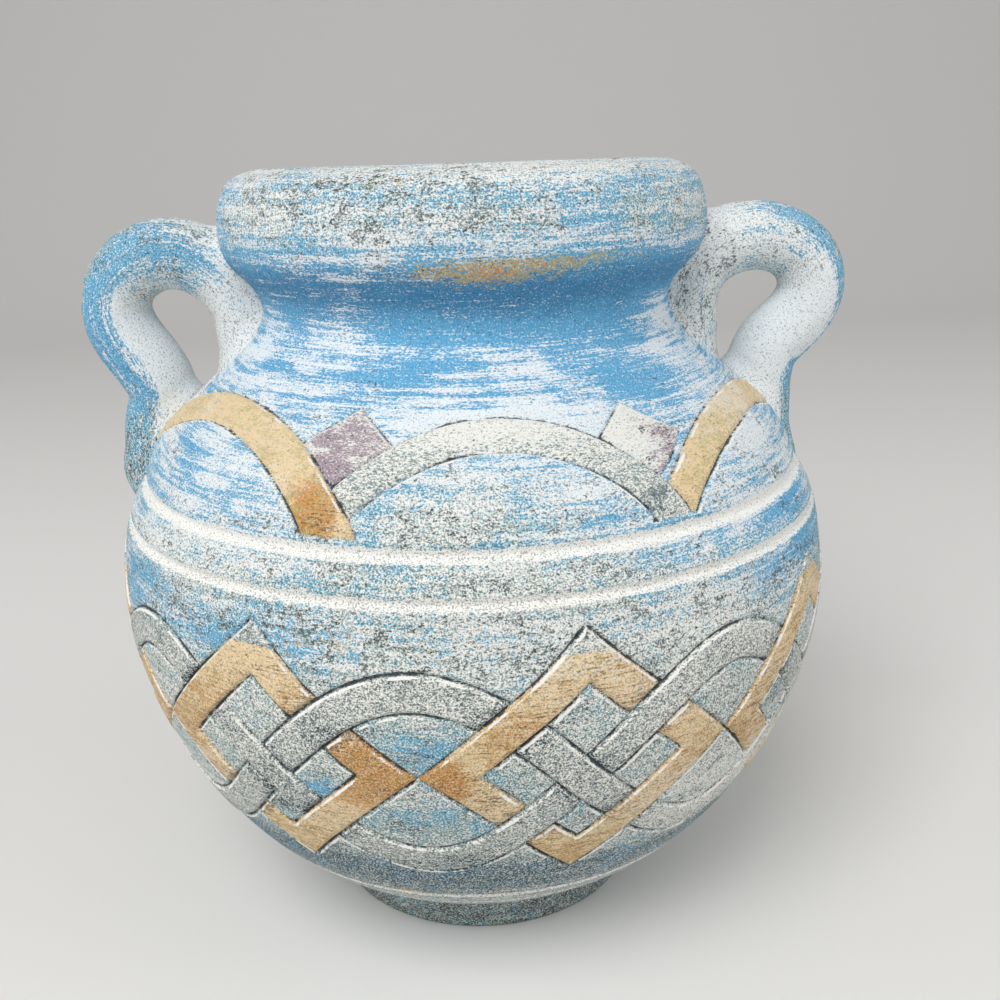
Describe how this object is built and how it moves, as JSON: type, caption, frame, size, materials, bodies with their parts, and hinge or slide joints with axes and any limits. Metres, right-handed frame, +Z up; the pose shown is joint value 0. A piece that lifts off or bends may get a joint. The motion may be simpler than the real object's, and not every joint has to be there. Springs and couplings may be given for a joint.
{
  "type": "hydria jar",
  "caption": "Thick-walled two-handled clay jar with a heavy rounded collar, short neck, wide carved belly and small turned foot",
  "frame": {"origin": "middle of the circle that the foot stands on", "axes": "+Z up along the turning axis, the two handles along -X and +X, the front towards -Y"},
  "size_m": [0.2136, 0.2016, 0.211],
  "materials": {
    "painted_clay": "chalky sky-blue paint over terracotta, brushed with off-white and sanded back; dull, no glaze",
    "handle_clay": "the same paint on pulled clay coils, paler on the inner sides"
  },
  "bodies": {
    "root": {"foot_ring": "painted_clay", "lower_body": "painted_clay", "shoulder": "painted_clay", "neck_ring": "painted_clay", "rim_collar": "painted_clay", "handle_left": "handle_clay", "handle_right": "handle_clay"}
  },
  "joints": []
}
